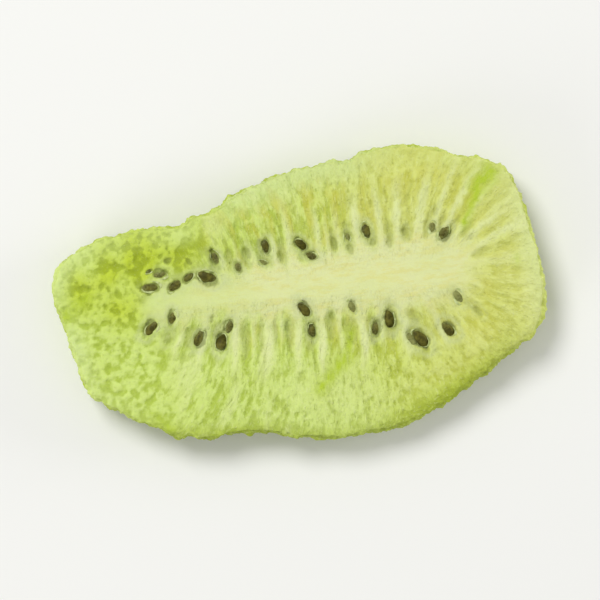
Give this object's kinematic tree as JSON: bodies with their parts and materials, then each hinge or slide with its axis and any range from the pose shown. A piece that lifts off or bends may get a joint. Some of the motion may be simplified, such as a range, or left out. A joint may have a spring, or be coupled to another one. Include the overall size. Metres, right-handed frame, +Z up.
{
  "type": "freeze-dried kiwi slice",
  "caption": "Freeze-dried kiwi slice cut lengthwise: pale core bar, slightly sunken seed ring, puffed border and an uneven, softly rounded peeled edge, lying flat.",
  "frame": {"origin": "middle of the slice's length and width, on the surface that it rests on", "axes": "+X along the core towards the broad end, +Y across the slice, +Z up out of the cut face that shows"},
  "size_m": [0.0558, 0.0326, 0.0062],
  "materials": {
    "flesh": "dry, matte, finely porous green fruit flesh with a paler core",
    "seed": "near-black brown seeds with a faint sheen"
  },
  "bodies": {
    "root": {"kiwi_slice": "flesh"}
  },
  "joints": []
}
